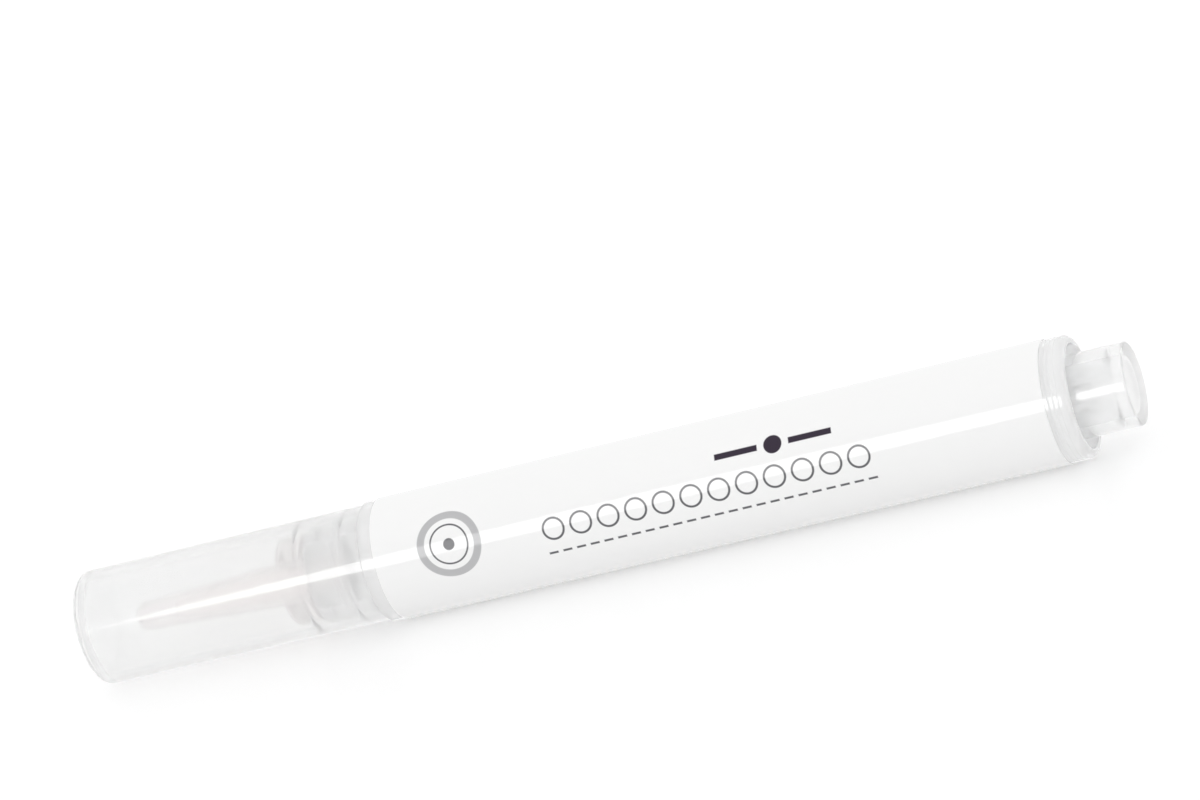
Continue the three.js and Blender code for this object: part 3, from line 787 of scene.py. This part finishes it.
def label_finish():
    """White film printed with a ring badge, a plum dot and two bars, and rows of rings and dashes."""
    finish = Finish("glossy_white_film")
    finish.set({"IOR": FILM_IOR})
    station, height = print_place(finish)
    colour = finish.blend(finish.noise(**FILM_CLOUDS), FILM_WHITE, FILM_SHADE)

    badge = from_centre(finish, station, height, BADGE["middle"], BADGE["level"])
    colour = finish.blend(ink_ring(finish, badge, BADGE["radius"], BADGE["band"]), colour, INK_PALE)
    colour = finish.blend(ink_ring(finish, badge, BADGE["inner"], BADGE["line"]), colour, INK_GREY)
    colour = finish.blend(ink_dot(finish, badge, BADGE["dot"]), colour, INK_GREY)

    dot = from_centre(finish, station, height, PLUM["middle"], PLUM["level"])
    colour = finish.blend(ink_dot(finish, dot, PLUM["dot"]), colour, INK_PLUM)
    for side in (-1, 1):
        middle = PLUM["middle"] + side * (PLUM["dot"] + PLUM["gap"] + PLUM["length"] / 2)
        bar = ink_bar(finish, station, height, middle, PLUM["level"], PLUM["length"], PLUM["width"])
        colour = finish.blend(bar, colour, INK_PLUM)

    within, local = ink_row(finish, station, height, RINGS)
    centre = from_centre(finish, local, height, RINGS["pitch"] / 2, RINGS["level"])
    ring = ink_ring(finish, centre, RINGS["radius"], RINGS["line"])
    colour = finish.blend(finish.calc("MULTIPLY", within, ring), colour, INK_GREY)

    within, local = ink_row(finish, station, height, DASHES)
    middle = DASHES["pitch"] / 2
    dash = ink_bar(finish, local, height, middle, DASHES["level"], DASHES["length"], DASHES["width"])
    colour = finish.blend(finish.calc("MULTIPLY", within, dash), colour, INK_GREY)

    # A thin line of painted shade marks the film's overlap seam, where the edge of the wrapped film would
    # cast it
    length = LABEL_REAR - LABEL_FRONT
    seam_shade_mask = ink_bar(finish, station, height, length / 2, SEAM["level"], length, SEAM["width"])
    colour = finish.blend(seam_shade_mask, colour, SEAM_PAINTED_SHADE)

    finish.feed(colour, "Base Color")
    finish.feed(finish.spread(finish.noise(**FILM_SMEARS), *FILM_GLOSS), "Roughness")
    finish.bump(finish.noise(**FILM_RIPPLES), **FILM_RELIEF)
    return finish.material


def silicone_finish():
    finish = Finish("milky_silicone")
    finish.set({"Transmission Weight": SILICONE_CLEARNESS, "IOR": SILICONE_IOR})
    haze = finish.noise(**SILICONE_HAZE)
    finish.feed(finish.blend(haze, SILICONE_PALE, SILICONE_DIM), "Base Color")
    finish.feed(finish.spread(haze, *SILICONE_SATIN), "Roughness")
    finish.bump(finish.noise(**SILICONE_GRAIN), **SILICONE_RELIEF)
    return finish.material


def moulded_finish(name, pale, dim, satin):
    finish = Finish(name)
    finish.set({"IOR": MOULDED_IOR})
    clouds = finish.noise(**MOULDED_CLOUDS)
    finish.feed(finish.blend(clouds, pale, dim), "Base Color")
    finish.feed(finish.spread(clouds, *satin), "Roughness")
    finish.bump(finish.noise(**MOULDED_GRAIN), **MOULDED_RELIEF)
    return finish.material


def wire_finish():
    finish = Finish("drawn_spring_wire")
    finish.set({"Metallic": 1.0})
    drawn = finish.noise(**WIRE_DRAWING)
    finish.feed(finish.blend(drawn, WIRE_BRIGHT, WIRE_DULL), "Base Color")
    finish.feed(finish.spread(drawn, *WIRE_POLISH), "Roughness")
    return finish.material


cap_clear = clear_finish("cap_hazy_clear", **CAP_CLEAR)
neck_clear = clear_finish("neck_hazy_clear", **NECK_CLEAR)
barrel_clear = clear_finish("barrel_hazy_clear", **BARREL_CLEAR)
button_clear = clear_finish("button_hazy_clear", **BUTTON_CLEAR)
collar_clear = clear_finish("collar_milky", **COLLAR_CLEAR)
film_white = label_finish()
milky_silicone = silicone_finish()
piston_white = moulded_finish("piston_soft_white", **PISTON_WHITE)
moulded_white = moulded_finish("moulded_satin_white", **MOULDED_WHITE)
spring_wire = wire_finish()

dress(make_cap(), "cap", "cap_body", cap_clear)
dress(make_tip(), "applicator_tip", "barrel_body", milky_silicone)
dress(make_neck(), "nozzle_seat", "barrel_body", neck_clear)
dress(make_barrel(), "barrel", "barrel_body", barrel_clear)
dress(make_label(), "label_sleeve", "barrel_body", film_white)
dress(make_collar(), "rear_collar", "barrel_body", collar_clear)
dress(make_button(), "push_button", "button_body", button_clear)
dress(make_piston(), "piston", "piston_body", piston_white)
dress(make_nut(), "spindle_nut", "barrel_body", moulded_white)

dress(make_spindle(), "screw_spindle", "spindle_body", moulded_white)
spring = make_spring()
dress(spring, "return_spring", "barrel_body", spring_wire)
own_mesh(spring)

# The toothed pieces keep the shape that the frame gives them
for node in ("drive_rotor", "cam_sleeve", "cam_pusher"):
    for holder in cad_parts[node].material_slots:
        holder.material = moulded_white

# Stage
WHITE = (1.0, 1.0, 1.0, 1.0)
FLOOR_SIZE = 6.0
FLOOR_WHITE = (0.85, 0.85, 0.85, 1.0)
FLOOR_ROUGHNESS = 0.3
FLOOR_IOR = 1.45
FLOOR_SEEN_GLOW = 0.17


def floor_finish():
    """White floor with a small glow for the camera, which gloss and clear plastic show as plain white."""
    finish = Finish("white_acrylic_floor")
    finish.set({"Roughness": FLOOR_ROUGHNESS, "IOR": FLOOR_IOR})
    finish.set({"Base Color": FLOOR_WHITE, "Emission Color": WHITE})
    rays = finish.nodes.new("ShaderNodeLightPath")
    glow = finish.calc("MULTIPLY", rays.outputs["Is Camera Ray"], FLOOR_SEEN_GLOW)
    finish.feed(glow, "Emission Strength")
    mirrored = finish.calc("MAXIMUM", rays.outputs["Is Transmission Ray"], rays.outputs["Is Glossy Ray"])
    plain_white = finish.nodes.new("ShaderNodeEmission")
    choice = finish.nodes.new("ShaderNodeMixShader")
    share, as_floor, as_white = choice.inputs
    finish.links.new(mirrored, share)
    finish.links.new(finish.shader.outputs["BSDF"], as_floor)
    finish.links.new(plain_white.outputs["Emission"], as_white)
    finish.links.new(choice.outputs["Shader"], finish.nodes["Material Output"].inputs["Surface"])
    return finish.material


clear_selection()
bpy.ops.mesh.primitive_plane_add(size=FLOOR_SIZE)
floor = name_piece("studio_floor")
floor.data.materials.append(floor_finish())

world = bpy.data.worlds.new("white_studio")
world.use_nodes = True
sky = world.node_tree.nodes["Background"]
sky.inputs["Color"].default_value = WHITE
sky.inputs["Strength"].default_value = 1.0
bpy.context.scene.world = world

# Softbox beside the camera, which only gloss shows: its reflection is the bright line along the pen
SOFTBOX = {"centre": (-0.235, -0.84, 0.279), "length": 0.34, "height": 0.38, "glow": 4.0}

softbox_area = math.pi / 4 * SOFTBOX["length"] * SOFTBOX["height"]
softbox_aim = Vector(AXIS_POINT) - Vector(SOFTBOX["centre"])
softbox_data = bpy.data.lights.new("long_softbox", "AREA")
softbox_data.shape = "ELLIPSE"
softbox_data.size = SOFTBOX["length"]
softbox_data.size_y = SOFTBOX["height"]
softbox_data.energy = SOFTBOX["glow"] * math.pi * softbox_area
softbox = bpy.data.objects.new("long_softbox", softbox_data)
bpy.context.scene.collection.objects.link(softbox)
softbox.location = SOFTBOX["centre"]
softbox.rotation_euler = softbox_aim.to_track_quat("-Z", "Y").to_euler()
softbox.visible_diffuse = False
softbox.visible_transmission = False

# Camera: angles in degrees, lens and sensor in millimetres
VIEW = {"azimuth": 18.5, "elevation": 16.5, "roll": 19.03, "distance": 0.7, "lens": 181.6, "sensor": 36.0}
VIEW_AIM = Vector((0.00319, 0.00319, 0.01918))

azimuth = math.radians(VIEW["azimuth"])
elevation = math.radians(VIEW["elevation"])
back = Vector((
    math.sin(azimuth) * math.cos(elevation),
    -math.cos(azimuth) * math.cos(elevation),
    math.sin(elevation),
))
camera_data = bpy.data.cameras.new("photo_camera")
camera_data.lens = VIEW["lens"]
camera_data.sensor_width = VIEW["sensor"]
camera = bpy.data.objects.new("photo_camera", camera_data)
bpy.context.scene.collection.objects.link(camera)
upright = (-back).to_track_quat("-Z", "Y").to_matrix().to_4x4()
rolled = upright @ Matrix.Rotation(-math.radians(VIEW["roll"]), 4, "Z")
camera.matrix_world = Matrix.Translation(VIEW_AIM + back * VIEW["distance"]) @ rolled
bpy.context.scene.camera = camera

bpy.context.scene.view_settings.view_transform = "Standard"

# Light passes many nested clear walls
LIGHT_BOUNCES = 128
bpy.context.scene.cycles.max_bounces = LIGHT_BOUNCES
bpy.context.scene.cycles.transmission_bounces = LIGHT_BOUNCES
bpy.context.scene.cycles.diffuse_bounces = LIGHT_BOUNCES
bpy.context.scene.cycles.glossy_bounces = LIGHT_BOUNCES
bpy.context.scene.cycles.blur_glossy = 0.0
